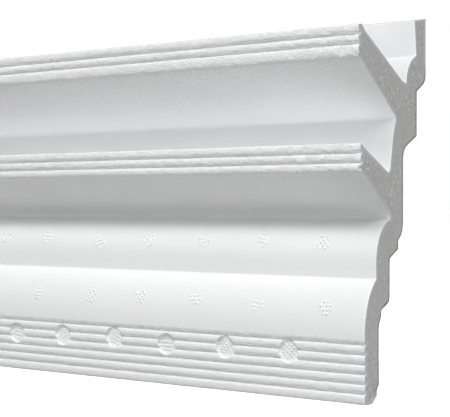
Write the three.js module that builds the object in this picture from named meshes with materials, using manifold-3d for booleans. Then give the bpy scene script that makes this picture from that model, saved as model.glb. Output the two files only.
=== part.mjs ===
// Cornice moulding length in moulded foam, with two light troughs and a ribbed band.
//
// Millimetres, +Z up. The length runs along X with its middle at X = 0, the wall is the plane
// Y = 0 and the front faces -Y. The origin is the middle of the flat strip that bears on the wall.
// The section is drawn in two lengths: out, the distance from the wall plane, and up, the height
// above the middle of the wall strip.

import * as THREE from 'three';
import { mergeVertices } from 'three/addons/utils/BufferGeometryUtils.js';
import Module from 'manifold-3d';

// Length, cut square at both ends
const LENGTH = 250;

// Wall strip and top edge: the back of the strip is flat, the top edge falls towards the front
const WALL_STRIP_HEIGHT = 21.9;
const TOP_EDGE_WIDTH = 8.9;
const TOP_EDGE_FALL = 1.7;

// Upper trough: a leaning wall, a rounded step at its foot and a narrow floor
const TROUGH_WALL_HEIGHT = 13.8;
const TROUGH_WALL_LEAN = 1.4;
const TROUGH_STEP_WIDTH = 7.7;
const TROUGH_STEP_SHOULDER_FALL = 3.3;
const TROUGH_STEP_HEIGHT = 11.5;
const TROUGH_FLOOR_WIDTH = 2.9;
const TROUGH_FLOOR_RISE = 0.7;

// Upper flange: its upper side climbs from the trough floor to the lip, its underside falls back
const UPPER_FLANGE_REACH = 27.5;
const UPPER_FLANGE_PITCH_DEG = 31.6;
const UPPER_LIP_CHAMFER_WIDTH = 2.3;
const UPPER_LIP_CHAMFER_RISE = 2.4;
const UPPER_LIP_TOP_WIDTH = 2.4;
const UPPER_LIP_TOP_FALL = 0.6;
const UPPER_LIP_HEIGHT = 11.4;
const UPPER_LIP_FIRST_GROOVE = 3.3;
const UPPER_UNDERSIDE_REACH = 25.4;
const UPPER_UNDERSIDE_PITCH_DEG = 38.7;

// Recess between the flanges: a fillet, a slightly bowed wall and a flare into the lower trough
const RECESS_FILLET_WIDTH = 1.6;
const RECESS_FILLET_DROP = 1.1;
const RECESS_WALL_HEIGHT = 18.9;
const RECESS_WALL_LEAN = 4.1;
const RECESS_BOW_DROP = 5.0;
const RECESS_BOW_OUT = 2.1;
const RECESS_FLARE_WIDTH = 1.1;
const RECESS_FLARE_HEIGHT = 1.8;

// Lower flange
const LOWER_FLANGE_REACH = 17.1;
const LOWER_FLANGE_PITCH_DEG = 27.6;
const LOWER_LIP_TOP_WIDTH = 3.2;
const LOWER_LIP_TOP_RISE = 1.7;
const LOWER_LIP_HEIGHT = 10.2;
const LOWER_LIP_FIRST_GROOVE = 3.5;
const LOWER_UNDERSIDE_REACH = 17.8;
const LOWER_UNDERSIDE_PITCH_DEG = 37.3;
const COVE_WIDTH = 3.7;
const COVE_DROP = 4.6;

// Waves: each leaves the step above at a shoulder and rounds over to an upright face
const UPPER_WAVE_WIDTH = 10.5;
const UPPER_WAVE_SHOULDER_FALL = 3.8;
const UPPER_WAVE_ROUND_HEIGHT = 17.7;
const UPPER_WAVE_HEIGHT = 22.9;
const LOWER_WAVE_WIDTH = 8.2;
const LOWER_WAVE_SHOULDER_FALL = 7.7;
const LOWER_WAVE_HEIGHT = 21.8;

// Ribs: rounded reeds parted by grooves; the lips carry two grooves, the band one above every reed
const REED_SWELL = 0.6;
const GROOVE_DEPTH = 1.3;
const GROOVE_MOUTH = 1.0;
const GROOVE_FLOOR = 0.5;
const LIP_RIB_PITCH = 3.6;
const LIP_GROOVE_COUNT = 2;
const LIP_CORNER_ROUND = 0.8;
const BAND_HEIGHT = 25.1;
const BAND_RIB_PITCH = 3.7;
const BAND_RIB_COUNT = 6;
const BAND_FIRST_GROOVE = 2.5;
const BAND_FOOT_DEPTH = 0.45;

// Bottom edge, rounded under the band and bevelled towards the back
const BOTTOM_ROUND_WIDTH = 2.4;
const BOTTOM_ROUND_DROP = 0.2;
const BOTTOM_FLAT_WIDTH = 3.1;
const BOTTOM_BEVEL_RISE = 2.8;

// Vent marks on the band: flat discs sunk to the floor of the grooves, over the second rib
const VENT_DIAMETER = 9.5;
const VENT_SPACING = 30.6;
const FIRST_VENT_FROM_END = 35.2;
const VENT_RIB = 2;
const VENT_SIDES = 28;

// The vents were set in the mould by hand, so each mark strays from its even place: [along, up]
const VENT_STRAY = [
  [0, 0.7], [-0.8, 0.2], [-1.4, -0.6], [-0.5, 0.6], [-1.0, -0.2], [0.1, -1.0], [-0.4, 0.0],
];

// Back: the wall of foam steps forward behind the front in seven ledges, given from the top
// down. Each hangs on a landmark of the front: wall is the foam left in front of the flat
// below the ledge, nose and heel are the heights of its outer and inner corner beside the
// landmark, and noseRound and heelRound are how far each corner is rounded.
const TROUGH_LEDGE = { wall: 8.1, nose: 1.5, heel: -2.8, noseRound: 3.0, heelRound: 0.3 };
const RECESS_LEDGE = { wall: 10.8, nose: 14.9, heel: 9.4, noseRound: 0.8, heelRound: 4.2 };
const UPPER_WAVE_LEDGES = [
  { wall: 16.4, nose: -5.2, heel: -8.6, noseRound: 4.6, heelRound: 0.6 },
  { wall: 10.1, nose: -12.0, heel: -15.4, noseRound: 0.4, heelRound: 0.8 },
];
const LOWER_WAVE_LEDGES = [
  { wall: 12.2, nose: -9.2, heel: -11.9, noseRound: 2.2, heelRound: 0.6 },
  { wall: 10.3, nose: -14.2, heel: -18.0, noseRound: 1.4, heelRound: 0.8 },
];
const BOTTOM_LEDGE = { wall: 8.8, nose: 6.9, heel: 5.2, noseRound: 0.3, heelRound: 0.5 };

// Straight pieces used for every rounded stretch of the section
const CURVE_SEGMENTS = 6;

const FOAM = { color: 0xf1f2f3, roughness: 0.85, metalness: 0 };

const slopeRise = (reach, degrees) => reach * Math.tan(THREE.MathUtils.degToRad(degrees));

// Draws a straight line from the path's end, by a step out and a step up.
function lineBy(path, out, up) {
  const { x, y } = path.currentPoint;
  path.lineTo(x + out, y + up);
}

// Draws a curve that leaves along the first step and arrives along the rest of the whole step.
function curveBy(path, controlOut, controlUp, out, up) {
  const { x, y } = path.currentPoint;
  path.quadraticCurveTo(x + controlOut, y + controlUp, x + out, y + up);
}

// Draws the upper part of a reed, which swells from its root out to the face.
function drawReedRise(path, height) {
  curveBy(path, REED_SWELL, 0, REED_SWELL, -height);
}

// Draws the lower part of a reed, which rounds from the face back to its root.
function drawReedFall(path, height) {
  curveBy(path, 0, -height, -REED_SWELL, -height);
}

// Draws one groove downwards between the roots of two reeds, with sloping sides and a flat floor.
function drawGroove(path) {
  const sideDepth = GROOVE_DEPTH - REED_SWELL;
  const sideDrop = (GROOVE_MOUTH - GROOVE_FLOOR) / 2;
  lineBy(path, -sideDepth, -sideDrop);
  lineBy(path, 0, -GROOVE_FLOOR);
  lineBy(path, sideDepth, -sideDrop);
}

// Draws an upright face downwards to the crest of its last reed, whose rest the caller draws. Its
// grooves are centred at the first depth and each pitch on. The path starts at the root of the
// first reed where that reed swells out as the others do, and otherwise on the face, where it is
// flat down to its fall. Returns how far below the top the last crest lies.
function drawReededFace(path, firstGroove, pitch, grooveCount, firstSwells) {
  const halfReed = (pitch - GROOVE_MOUTH) / 2;
  const toFall = firstGroove - GROOVE_MOUTH / 2 - halfReed;
  if (firstSwells) drawReedRise(path, toFall);
  else lineBy(path, 0, -toFall);
  for (let groove = 0; groove < grooveCount; groove += 1) {
    drawReedFall(path, halfReed);
    drawGroove(path);
    drawReedRise(path, halfReed);
  }
  return firstGroove + (grooveCount - 0.5) * pitch;
}

// Draws the top edge and the upper trough; returns the front foot of the rounded step.
function drawUpperTrough(path) {
  lineBy(path, TOP_EDGE_WIDTH, -TOP_EDGE_FALL);
  lineBy(path, -TROUGH_WALL_LEAN, -TROUGH_WALL_HEIGHT);
  curveBy(path, TROUGH_STEP_WIDTH, -TROUGH_STEP_SHOULDER_FALL, TROUGH_STEP_WIDTH, -TROUGH_STEP_HEIGHT);
  const foot = path.currentPoint.clone();
  lineBy(path, TROUGH_FLOOR_WIDTH, TROUGH_FLOOR_RISE);
  return foot;
}

// Draws a flange's lip down its reeded face and back along the slanting underside. The height
// and the reach are those of the sharp corner, which is rounded off.
function drawLip(path, height, firstGroove, firstSwells, reach, pitchDeg) {
  const crest = drawReededFace(path, firstGroove, LIP_RIB_PITCH, LIP_GROOVE_COUNT, firstSwells);
  const fall = height - crest;
  const underside = reach - LIP_CORNER_ROUND;
  curveBy(path, 0, -fall, -LIP_CORNER_ROUND, -fall - slopeRise(LIP_CORNER_ROUND, pitchDeg));
  lineBy(path, -underside, -slopeRise(underside, pitchDeg));
}

// Draws the upper flange out to its lip and back along the underside.
function drawUpperFlange(path) {
  lineBy(path, UPPER_FLANGE_REACH, slopeRise(UPPER_FLANGE_REACH, UPPER_FLANGE_PITCH_DEG));
  lineBy(path, UPPER_LIP_CHAMFER_WIDTH, UPPER_LIP_CHAMFER_RISE);
  lineBy(path, UPPER_LIP_TOP_WIDTH, -UPPER_LIP_TOP_FALL);
  const [height, groove] = [UPPER_LIP_HEIGHT, UPPER_LIP_FIRST_GROOVE];
  drawLip(path, height, groove, false, UPPER_UNDERSIDE_REACH, UPPER_UNDERSIDE_PITCH_DEG);
}

// Draws the recess wall from the flange's fillet to the lower trough; returns the trough's foot.
function drawRecess(path) {
  const fall = slopeRise(RECESS_FILLET_WIDTH, UPPER_UNDERSIDE_PITCH_DEG);
  curveBy(path, -RECESS_FILLET_WIDTH, -fall, -RECESS_FILLET_WIDTH, -fall - RECESS_FILLET_DROP);
  curveBy(path, RECESS_BOW_OUT, -RECESS_BOW_DROP, RECESS_WALL_LEAN, -RECESS_WALL_HEIGHT);
  lineBy(path, RECESS_FLARE_WIDTH, -RECESS_FLARE_HEIGHT);
  return path.currentPoint.clone();
}

// Draws the lower flange out to its lip, back along the underside and into the cove.
function drawLowerFlange(path) {
  lineBy(path, LOWER_FLANGE_REACH, slopeRise(LOWER_FLANGE_REACH, LOWER_FLANGE_PITCH_DEG));
  lineBy(path, LOWER_LIP_TOP_WIDTH - REED_SWELL, LOWER_LIP_TOP_RISE);
  const [height, groove] = [LOWER_LIP_HEIGHT, LOWER_LIP_FIRST_GROOVE];
  drawLip(path, height, groove, true, LOWER_UNDERSIDE_REACH, LOWER_UNDERSIDE_PITCH_DEG);
  curveBy(path, -COVE_WIDTH, -slopeRise(COVE_WIDTH, LOWER_UNDERSIDE_PITCH_DEG), -COVE_WIDTH, -COVE_DROP);
}

// Draws both waves; returns the top corner of each and the upright face of each.
function drawWaves(path) {
  const upperTop = path.currentPoint.clone();
  curveBy(path, UPPER_WAVE_WIDTH, -UPPER_WAVE_SHOULDER_FALL, UPPER_WAVE_WIDTH, -UPPER_WAVE_ROUND_HEIGHT);
  lineBy(path, 0, UPPER_WAVE_ROUND_HEIGHT - UPPER_WAVE_HEIGHT);
  const lowerTop = path.currentPoint.clone();
  curveBy(path, LOWER_WAVE_WIDTH, -LOWER_WAVE_SHOULDER_FALL, LOWER_WAVE_WIDTH, -LOWER_WAVE_HEIGHT);
  return { upperTop, lowerTop };
}

// Draws the reeded band, whose last reed leans back to the foot; returns its top corner.
function drawBand(path) {
  const top = path.currentPoint.clone();
  const crest = drawReededFace(path, BAND_FIRST_GROOVE, BAND_RIB_PITCH, BAND_RIB_COUNT, false);
  const fall = BAND_HEIGHT - crest;
  curveBy(path, 0, -fall / 2, -BAND_FOOT_DEPTH, -fall);
  return top;
}

// Draws the bottom edge back to the lowest flat of the back; returns the underside's height.
function drawBottomEdge(path, bandFace) {
  lineBy(path, BAND_FOOT_DEPTH - BOTTOM_ROUND_WIDTH, -BOTTOM_ROUND_DROP);
  const underside = path.currentPoint.y;
  lineBy(path, -BOTTOM_FLAT_WIDTH, 0);
  path.lineTo(bandFace - BOTTOM_LEDGE.wall, underside + BOTTOM_BEVEL_RISE);
  return underside;
}

// The point that lies a share of the way from one point to another.
const between = (from, to, share) => from.clone().lerp(to, share);

// Draws one ledge of the back upwards, from the flat below it to the flat above it.
function drawLedge(path, ledge, landmarkUp, outAbove) {
  const heel = new THREE.Vector2(path.currentPoint.x, landmarkUp + ledge.heel);
  const nose = new THREE.Vector2(outAbove, landmarkUp + ledge.nose);
  const slope = nose.distanceTo(heel);
  const heelEnd = between(heel, nose, Math.min(ledge.heelRound / slope, 0.5));
  const noseStart = between(nose, heel, Math.min(ledge.noseRound / slope, 0.5));
  path.lineTo(heel.x, heel.y - ledge.heelRound);
  path.quadraticCurveTo(heel.x, heel.y, heelEnd.x, heelEnd.y);
  path.lineTo(noseStart.x, noseStart.y);
  path.quadraticCurveTo(nose.x, nose.y, nose.x, nose.y + ledge.noseRound);
}

// Draws the back upwards, ledge by ledge, each from the wall of the flat below to the one above.
function drawBack(path, marks) {
  const ledges = [
    { ...TROUGH_LEDGE, face: marks.troughFoot.x, from: marks.troughFoot.y },
    { ...RECESS_LEDGE, face: marks.recessFoot.x, from: marks.recessFoot.y },
    ...UPPER_WAVE_LEDGES.map((ledge) => ({ ...ledge, face: marks.lowerTop.x, from: marks.upperTop.y })),
    ...LOWER_WAVE_LEDGES.map((ledge) => ({ ...ledge, face: marks.bandTop.x, from: marks.lowerTop.y })),
    { ...BOTTOM_LEDGE, face: marks.bandTop.x, from: marks.underside },
  ];
  for (let index = ledges.length - 1; index >= 0; index -= 1) {
    const above = ledges[index - 1];
    const outAbove = above ? above.face - above.wall : 0;
    drawLedge(path, ledges[index], ledges[index].from, outAbove);
  }
}

// The whole section, drawn down the front and up the back, with the band's top corner.
function drawSection() {
  const section = new THREE.Shape();
  section.moveTo(0, WALL_STRIP_HEIGHT / 2);
  const troughFoot = drawUpperTrough(section);
  drawUpperFlange(section);
  const recessFoot = drawRecess(section);
  drawLowerFlange(section);
  const { upperTop, lowerTop } = drawWaves(section);
  const bandTop = drawBand(section);
  const underside = drawBottomEdge(section, bandTop.x);
  drawBack(section, { troughFoot, recessFoot, upperTop, lowerTop, bandTop, underside });
  section.closePath();
  return { section, bandTop };
}

// Sweeps the section along the length: out turns to -Y, up to +Z and the sweep to -X.
function sweepSection(section) {
  const sweep = new THREE.ExtrudeGeometry(section, {
    depth: LENGTH,
    steps: 1,
    bevelEnabled: false,
    curveSegments: CURVE_SEGMENTS,
  });
  const turn = new THREE.Matrix4().makeBasis(
    new THREE.Vector3(0, -1, 0),
    new THREE.Vector3(0, 0, 1),
    new THREE.Vector3(-1, 0, 0),
  );
  return sweep.applyMatrix4(turn).translate(LENGTH / 2, 0, 0);
}

// One plug that sinks a vent mark into the band, from the groove floor out past the face.
function ventPlug(index, bandTop) {
  const [strayAlong, strayUp] = VENT_STRAY[index % VENT_STRAY.length];
  const along = LENGTH / 2 - FIRST_VENT_FROM_END - index * VENT_SPACING + strayAlong;
  const up = bandTop.y - BAND_FIRST_GROOVE - (VENT_RIB - 0.5) * BAND_RIB_PITCH + strayUp;
  const radius = VENT_DIAMETER / 2;
  const plug = new THREE.CylinderGeometry(radius, radius, 2 * GROOVE_DEPTH, VENT_SIDES);
  return plug.translate(along, -bandTop.x, up);
}

// Turns a geometry into a solid that can be cut.
function toSolid(wasm, geometry) {
  const bare = geometry.clone();
  bare.deleteAttribute('normal');
  bare.deleteAttribute('uv');
  const merged = mergeVertices(bare);
  const mesh = new wasm.Mesh({
    numProp: 3,
    vertProperties: new Float32Array(merged.attributes.position.array),
    triVerts: new Uint32Array(merged.index.array),
  });
  return new wasm.Manifold(mesh);
}

// Turns a solid back into a geometry.
function toGeometry(solid) {
  const mesh = solid.getMesh();
  const geometry = new THREE.BufferGeometry();
  geometry.setAttribute('position', new THREE.BufferAttribute(mesh.vertProperties, 3));
  geometry.setIndex(new THREE.BufferAttribute(mesh.triVerts, 1));
  return geometry;
}

// The length of moulding with every vent mark that falls whole on the band.
function buildMoulding(wasm) {
  const { section, bandTop } = drawSection();
  const room = LENGTH - FIRST_VENT_FROM_END - VENT_DIAMETER;
  const ventCount = Math.floor(room / VENT_SPACING) + 1;
  let moulding = toSolid(wasm, sweepSection(section));
  for (let index = 0; index < ventCount; index += 1) {
    moulding = moulding.subtract(toSolid(wasm, ventPlug(index, bandTop)));
  }
  const geometry = toGeometry(moulding).toNonIndexed();
  geometry.computeVertexNormals();
  return geometry;
}

const wasm = await Module();
wasm.setup();

const moulding = new THREE.Mesh(buildMoulding(wasm), new THREE.MeshStandardMaterial(FOAM));
moulding.name = 'cornice_moulding';

const cornice = new THREE.Group();
cornice.add(moulding);

export default cornice;
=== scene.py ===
"""Looks of a straight length of white foam cornice moulding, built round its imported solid.

The length is one piece of moulded bead foam. Its section is drawn from named sizes, in
millimetres out of the wall and up, and swept along the length between two sawn ends.
"""

import logging
import math
import random
from dataclasses import dataclass, field
from enum import Enum
from functools import partial, reduce
from typing import Any

import bmesh
import bpy
import numpy as np
from mathutils import Matrix, Vector, geometry, noise


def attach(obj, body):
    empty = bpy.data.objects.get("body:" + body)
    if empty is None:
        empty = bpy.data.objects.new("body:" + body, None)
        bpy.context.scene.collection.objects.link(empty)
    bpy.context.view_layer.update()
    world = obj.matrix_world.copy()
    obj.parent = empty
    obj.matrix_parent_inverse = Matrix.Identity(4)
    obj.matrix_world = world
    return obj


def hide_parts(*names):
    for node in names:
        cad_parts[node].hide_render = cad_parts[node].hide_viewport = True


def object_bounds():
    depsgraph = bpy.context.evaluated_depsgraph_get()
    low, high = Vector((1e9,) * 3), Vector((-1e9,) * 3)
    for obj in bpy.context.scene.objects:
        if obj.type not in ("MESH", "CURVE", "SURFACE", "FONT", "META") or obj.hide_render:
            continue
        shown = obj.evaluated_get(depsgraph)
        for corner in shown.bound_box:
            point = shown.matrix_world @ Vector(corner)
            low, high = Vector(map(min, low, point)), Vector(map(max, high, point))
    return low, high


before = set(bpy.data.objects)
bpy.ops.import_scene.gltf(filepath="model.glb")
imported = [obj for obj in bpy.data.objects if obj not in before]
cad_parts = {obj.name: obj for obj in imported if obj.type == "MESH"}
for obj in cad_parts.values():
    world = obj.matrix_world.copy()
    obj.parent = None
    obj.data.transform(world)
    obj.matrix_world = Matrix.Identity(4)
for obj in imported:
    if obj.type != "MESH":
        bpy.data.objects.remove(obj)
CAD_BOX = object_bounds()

LOG = logging.getLogger("cornice")
NODE = "cornice_moulding"
MM = 0.001
TINY = 1e-7
IMAGE_WIDTH = 450
IMAGE_HEIGHT = 417


class Zone(Enum):
    """A stretch of the skin, valued by its grain, its crumble and its painted light or shade."""

    # The third value is painted light and shade: the undersides, recess and trough are painted lighter for
    # bounce and glow through the foam, and the lower underside and the step are painted darker for shade.
    EDGE = (0.2, 0.5, 0.0)
    TROUGH = (0.1, 0.1, 0.02)
    STEP = (0.1, 0.1, -0.08)
    REED = (0.15, 1.0, 0.0)
    LIP = (0.4, 2.1, 0.0)
    UNDERSIDE = (1.0, 0.15, 0.06)
    LOW_UNDERSIDE = (0.5, 0.15, -0.045)
    RECESS = (0.25, 0.1, 0.06)
    WAVE = (0.08, 0.1, 0.0)
    BACK = (0.7, 0.2, 0.0)

    @property
    def grain(self) -> float:
        """How strongly the beads show."""
        return self.value[0]

    @property
    def crumble(self) -> float:
        """How far the edges crumble."""
        return self.value[1]

    @property
    def tint(self) -> float:
        """How much lighter the skin is painted, as a share, for painted bounce and glow; below nothing it is
        darker, for painted shade.
        """
        return self.value[2]


class Face(Enum):
    """The material index of each kind of face."""

    SKIN = 0
    SAWN = 1


@dataclass
class Pen:
    """Draws the section's outline, in millimetres out of the wall and up.

    Each point keeps the zone of the stretch that leads to it.
    """

    out: float = 0.0
    up: float = 0.0
    zone: Zone = Zone.EDGE
    points: list[tuple[float, float, Zone]] = field(default_factory=list)

    def line_to(self, out: float, up: float) -> None:
        """Draws a straight line to a point, or puts the pen down at the first one."""
        self.out, self.up = out, up
        self.points.append((out, up, self.zone))

    def line_by(self, out: float, up: float) -> None:
        """Draws a straight line by a step."""
        self.line_to(self.out + out, self.up + up)

    def curve_by(self, control: tuple[float, float], step: tuple[float, float], parts: int) -> None:
        """Draws a curve that leaves along the control step and ends at the whole step.

        Args:
            control: The step to the curve's control point.
            step: The step to the curve's end.
            parts: How many straight parts stand for the curve.
        """
        start_out, start_up = self.out, self.up
        for part in range(1, parts + 1):
            t = part / parts
            lean = 2 * t * (1 - t)
            self.line_to(
                start_out + lean * control[0] + t * t * step[0],
                start_up + lean * control[1] + t * t * step[1],
            )


def slope_rise(reach: float, degrees: float) -> float:
    """The rise of a slope over its reach."""
    return reach * math.tan(math.radians(degrees))


@dataclass(frozen=True)
class Reeds:
    """Rounded reeds parted by grooves, in millimetres."""

    swell: float = 0.6
    groove_depth: float = 1.3
    groove_mouth: float = 1.0
    groove_floor: float = 0.5
    parts: int = 3

    def draw_rise(self, pen: Pen, height: float) -> None:
        """Draws the upper part of a reed, from its root out to the face."""
        pen.curve_by((self.swell, 0.0), (self.swell, -height), self.parts)

    def draw_fall(self, pen: Pen, height: float) -> None:
        """Draws the lower part of a reed, from the face back to its root."""
        pen.curve_by((0.0, -height), (-self.swell, -height), self.parts)

    def draw_groove(self, pen: Pen) -> None:
        """Draws one groove between the roots of two reeds.

        Args:
            pen: The pen, at the root of the reed above.
        """
        side = self.groove_depth - self.swell
        drop = (self.groove_mouth - self.groove_floor) / 2
        pen.line_by(-side, -drop)
        pen.line_by(0.0, -self.groove_floor)
        pen.line_by(side, -drop)

    def draw_face(self, pen: Pen, first: float, pitch: float, grooves: int, swells: bool) -> float:
        """Draws an upright reeded face downwards, to the crest of its last reed.

        Args:
            pen: The pen, at the top of the face, set to the face's zone.
            first: How far down the first groove is centred.
            pitch: The spacing of the grooves.
            grooves: How many grooves there are.
            swells: Whether the first reed swells out from its root as the others do.

        Returns:
            How far down the last crest lies.
        """
        half_reed = (pitch - self.groove_mouth) / 2
        to_fall = first - self.groove_mouth / 2 - half_reed
        if swells:
            self.draw_rise(pen, to_fall)
        else:
            pen.line_by(0.0, -to_fall)
        for _ in range(grooves):
            self.draw_fall(pen, half_reed)
            self.draw_groove(pen)
            self.draw_rise(pen, half_reed)
        return first + (grooves - 0.5) * pitch


@dataclass(frozen=True)
class Trough:
    """The top edge and the upper trough down to its floor, in millimetres."""

    strip_height: float = 21.9
    edge_width: float = 8.9
    edge_fall: float = 1.7
    wall_height: float = 13.8
    wall_lean: float = 1.4
    step_width: float = 7.7
    step_shoulder_fall: float = 3.3
    step_height: float = 11.5
    floor_width: float = 2.9
    floor_rise: float = 0.7
    parts: int = 9

    def draw(self, pen: Pen) -> tuple[float, float]:
        """Draws the trough.

        Args:
            pen: The pen, not yet put down.

        Returns:
            The front foot of the rounded step.
        """
        pen.line_to(0.0, self.strip_height / 2)
        pen.line_by(self.edge_width, -self.edge_fall)
        pen.zone = Zone.TROUGH
        pen.line_by(-self.wall_lean, -self.wall_height)
        pen.zone = Zone.STEP
        pen.curve_by(
            (self.step_width, -self.step_shoulder_fall), (self.step_width, -self.step_height), self.parts
        )
        foot = (pen.out, pen.up)
        pen.line_by(self.floor_width, self.floor_rise)
        return foot


@dataclass(frozen=True)
class Flange:
    """A slanting flange with a reeded lip, in millimetres and degrees."""

    reach: float
    pitch_deg: float
    lip_edge: tuple[tuple[float, float], ...]
    lip_height: float
    first_groove: float
    under_reach: float
    under_pitch_deg: float
    under_zone: Zone
    first_swells: bool
    rib_pitch: float = 3.6
    grooves: int = 2
    corner_round: float = 0.8
    corner_parts: int = 4

    def draw(self, pen: Pen, reeds: Reeds) -> None:
        """Draws the flange out to its lip and back along the underside.

        Args:
            pen: The pen, at the foot of the flange's upper side.
            reeds: The reeds of the lip.
        """
        pen.zone = Zone.TROUGH
        pen.line_by(self.reach, slope_rise(self.reach, self.pitch_deg))
        pen.zone = Zone.EDGE
        for out, up in self.lip_edge:
            pen.line_by(out, up)
        pen.zone = Zone.LIP
        crest = reeds.draw_face(
            pen, self.first_groove, self.rib_pitch, self.grooves, self.first_swells
        )
        fall = self.lip_height - crest
        corner = (-self.corner_round, -fall - slope_rise(self.corner_round, self.under_pitch_deg))
        pen.curve_by((0.0, -fall), corner, self.corner_parts)
        underside = self.under_reach - self.corner_round
        pen.zone = self.under_zone
        pen.line_by(-underside, -slope_rise(underside, self.under_pitch_deg))


@dataclass(frozen=True)
class Recess:
    """The wall between the flanges: a fillet, a slight bow and a flare, in millimetres."""

    fillet_width: float = 1.6
    fillet_drop: float = 1.1
    wall_height: float = 18.9
    wall_lean: float = 4.1
    bow_drop: float = 5.0
    bow_out: float = 2.1
    flare_width: float = 1.1
    flare_height: float = 1.8
    fillet_parts: int = 5
    wall_parts: int = 12

    def draw(self, pen: Pen, pitch_deg: float) -> tuple[float, float]:
        """Draws the recess wall.

        Args:
            pen: The pen, where the underside of the flange ends.
            pitch_deg: The pitch of that underside.

        Returns:
            The foot of the flare.
        """
        fall = slope_rise(self.fillet_width, pitch_deg)
        pen.zone = Zone.RECESS
        pen.curve_by(
            (-self.fillet_width, -fall), (-self.fillet_width, -fall - self.fillet_drop), self.fillet_parts
        )
        pen.curve_by(
            (self.bow_out, -self.bow_drop), (self.wall_lean, -self.wall_height), self.wall_parts
        )
        pen.line_by(self.flare_width, -self.flare_height)
        return pen.out, pen.up


@dataclass(frozen=True)
class Waves:
    """The cove under the lower flange and the two waves, in millimetres."""

    cove_width: float = 3.7
    cove_drop: float = 4.6
    cove_parts: int = 5
    upper_width: float = 10.5
    upper_shoulder_fall: float = 3.8
    upper_round_height: float = 17.7
    upper_height: float = 22.9
    lower_width: float = 8.2
    lower_shoulder_fall: float = 7.7
    lower_height: float = 21.8
    parts: int = 16

    def draw(self, pen: Pen, pitch_deg: float) -> tuple[tuple[float, float], tuple[float, float]]:
        """Draws the cove and both waves.

        Args:
            pen: The pen, where the underside of the lower flange ends.
            pitch_deg: The pitch of that underside.

        Returns:
            The top corner of each wave.
        """
        pen.zone = Zone.LOW_UNDERSIDE
        fall = slope_rise(self.cove_width, pitch_deg)
        pen.curve_by((-self.cove_width, -fall), (-self.cove_width, -self.cove_drop), self.cove_parts)
        pen.zone = Zone.WAVE
        upper = (pen.out, pen.up)
        pen.curve_by(
            (self.upper_width, -self.upper_shoulder_fall),
            (self.upper_width, -self.upper_round_height),
            self.parts,
        )
        pen.line_by(0.0, self.upper_round_height - self.upper_height)
        lower = (pen.out, pen.up)
        pen.curve_by(
            (self.lower_width, -self.lower_shoulder_fall),
            (self.lower_width, -self.lower_height),
            self.parts,
        )
        return upper, lower


@dataclass(frozen=True)
class Band:
    """The reeded band and the bottom edge, in millimetres."""

    height: float = 25.1
    first_groove: float = 2.5
    rib_pitch: float = 3.7
    ribs: int = 6
    foot_depth: float = 0.45
    foot_parts: int = 3
    round_width: float = 2.4
    round_drop: float = 0.2
    flat_width: float = 3.1
    bevel_rise: float = 2.8

    def draw(self, pen: Pen, reeds: Reeds, lowest_wall: float) -> tuple[tuple[float, float], float]:
        """Draws the band and the bottom edge.

        Args:
            pen: The pen, at the top of the band.
            reeds: The reeds of the band.
            lowest_wall: The foam behind the band's face at the lowest flat of the back.

        Returns:
            The band's top corner, and the height of the underside.
        """
        top = (pen.out, pen.up)
        pen.zone = Zone.REED
        crest = reeds.draw_face(pen, self.first_groove, self.rib_pitch, self.ribs, False)
        fall = self.height - crest
        pen.curve_by((0.0, -fall / 2), (-self.foot_depth, -fall), self.foot_parts)
        pen.zone = Zone.EDGE
        pen.line_by(self.foot_depth - self.round_width, -self.round_drop)
        underside = pen.up
        pen.line_by(-self.flat_width, 0.0)
        pen.line_to(top[0] - lowest_wall, underside + self.bevel_rise)
        return top, underside


@dataclass(frozen=True)
class Ledge:
    """One ledge of the back, in millimetres.

    The wall is the foam left in front of the flat below it. Nose and heel are the heights of
    its two corners beside a landmark of the front, each with its rounding.
    """

    wall: float
    nose: float
    heel: float
    nose_round: float
    heel_round: float
    most_share: float = 0.5
    parts: int = 4

    def draw(self, pen: Pen, landmark_up: float, out_above: float) -> None:
        """Draws the ledge upwards, from the flat below to the flat above.

        Args:
            pen: The pen, on the flat below.
            landmark_up: The landmark's height.
            out_above: How far out the flat above stands.
        """
        heel = (pen.out, landmark_up + self.heel)
        nose = (out_above, landmark_up + self.nose)
        rise = (nose[0] - heel[0], nose[1] - heel[1])
        slope = math.hypot(*rise)
        heel_share = min(self.heel_round / slope, self.most_share)
        nose_share = 1 - min(self.nose_round / slope, self.most_share)
        pen.line_to(heel[0], heel[1] - self.heel_round)
        pen.curve_by(
            (0.0, self.heel_round),
            (heel_share * rise[0], self.heel_round + heel_share * rise[1]),
            self.parts,
        )
        pen.line_to(heel[0] + nose_share * rise[0], heel[1] + nose_share * rise[1])
        pen.curve_by(
            (nose[0] - pen.out, nose[1] - pen.up),
            (nose[0] - pen.out, nose[1] + self.nose_round - pen.up),
            self.parts,
        )


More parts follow.
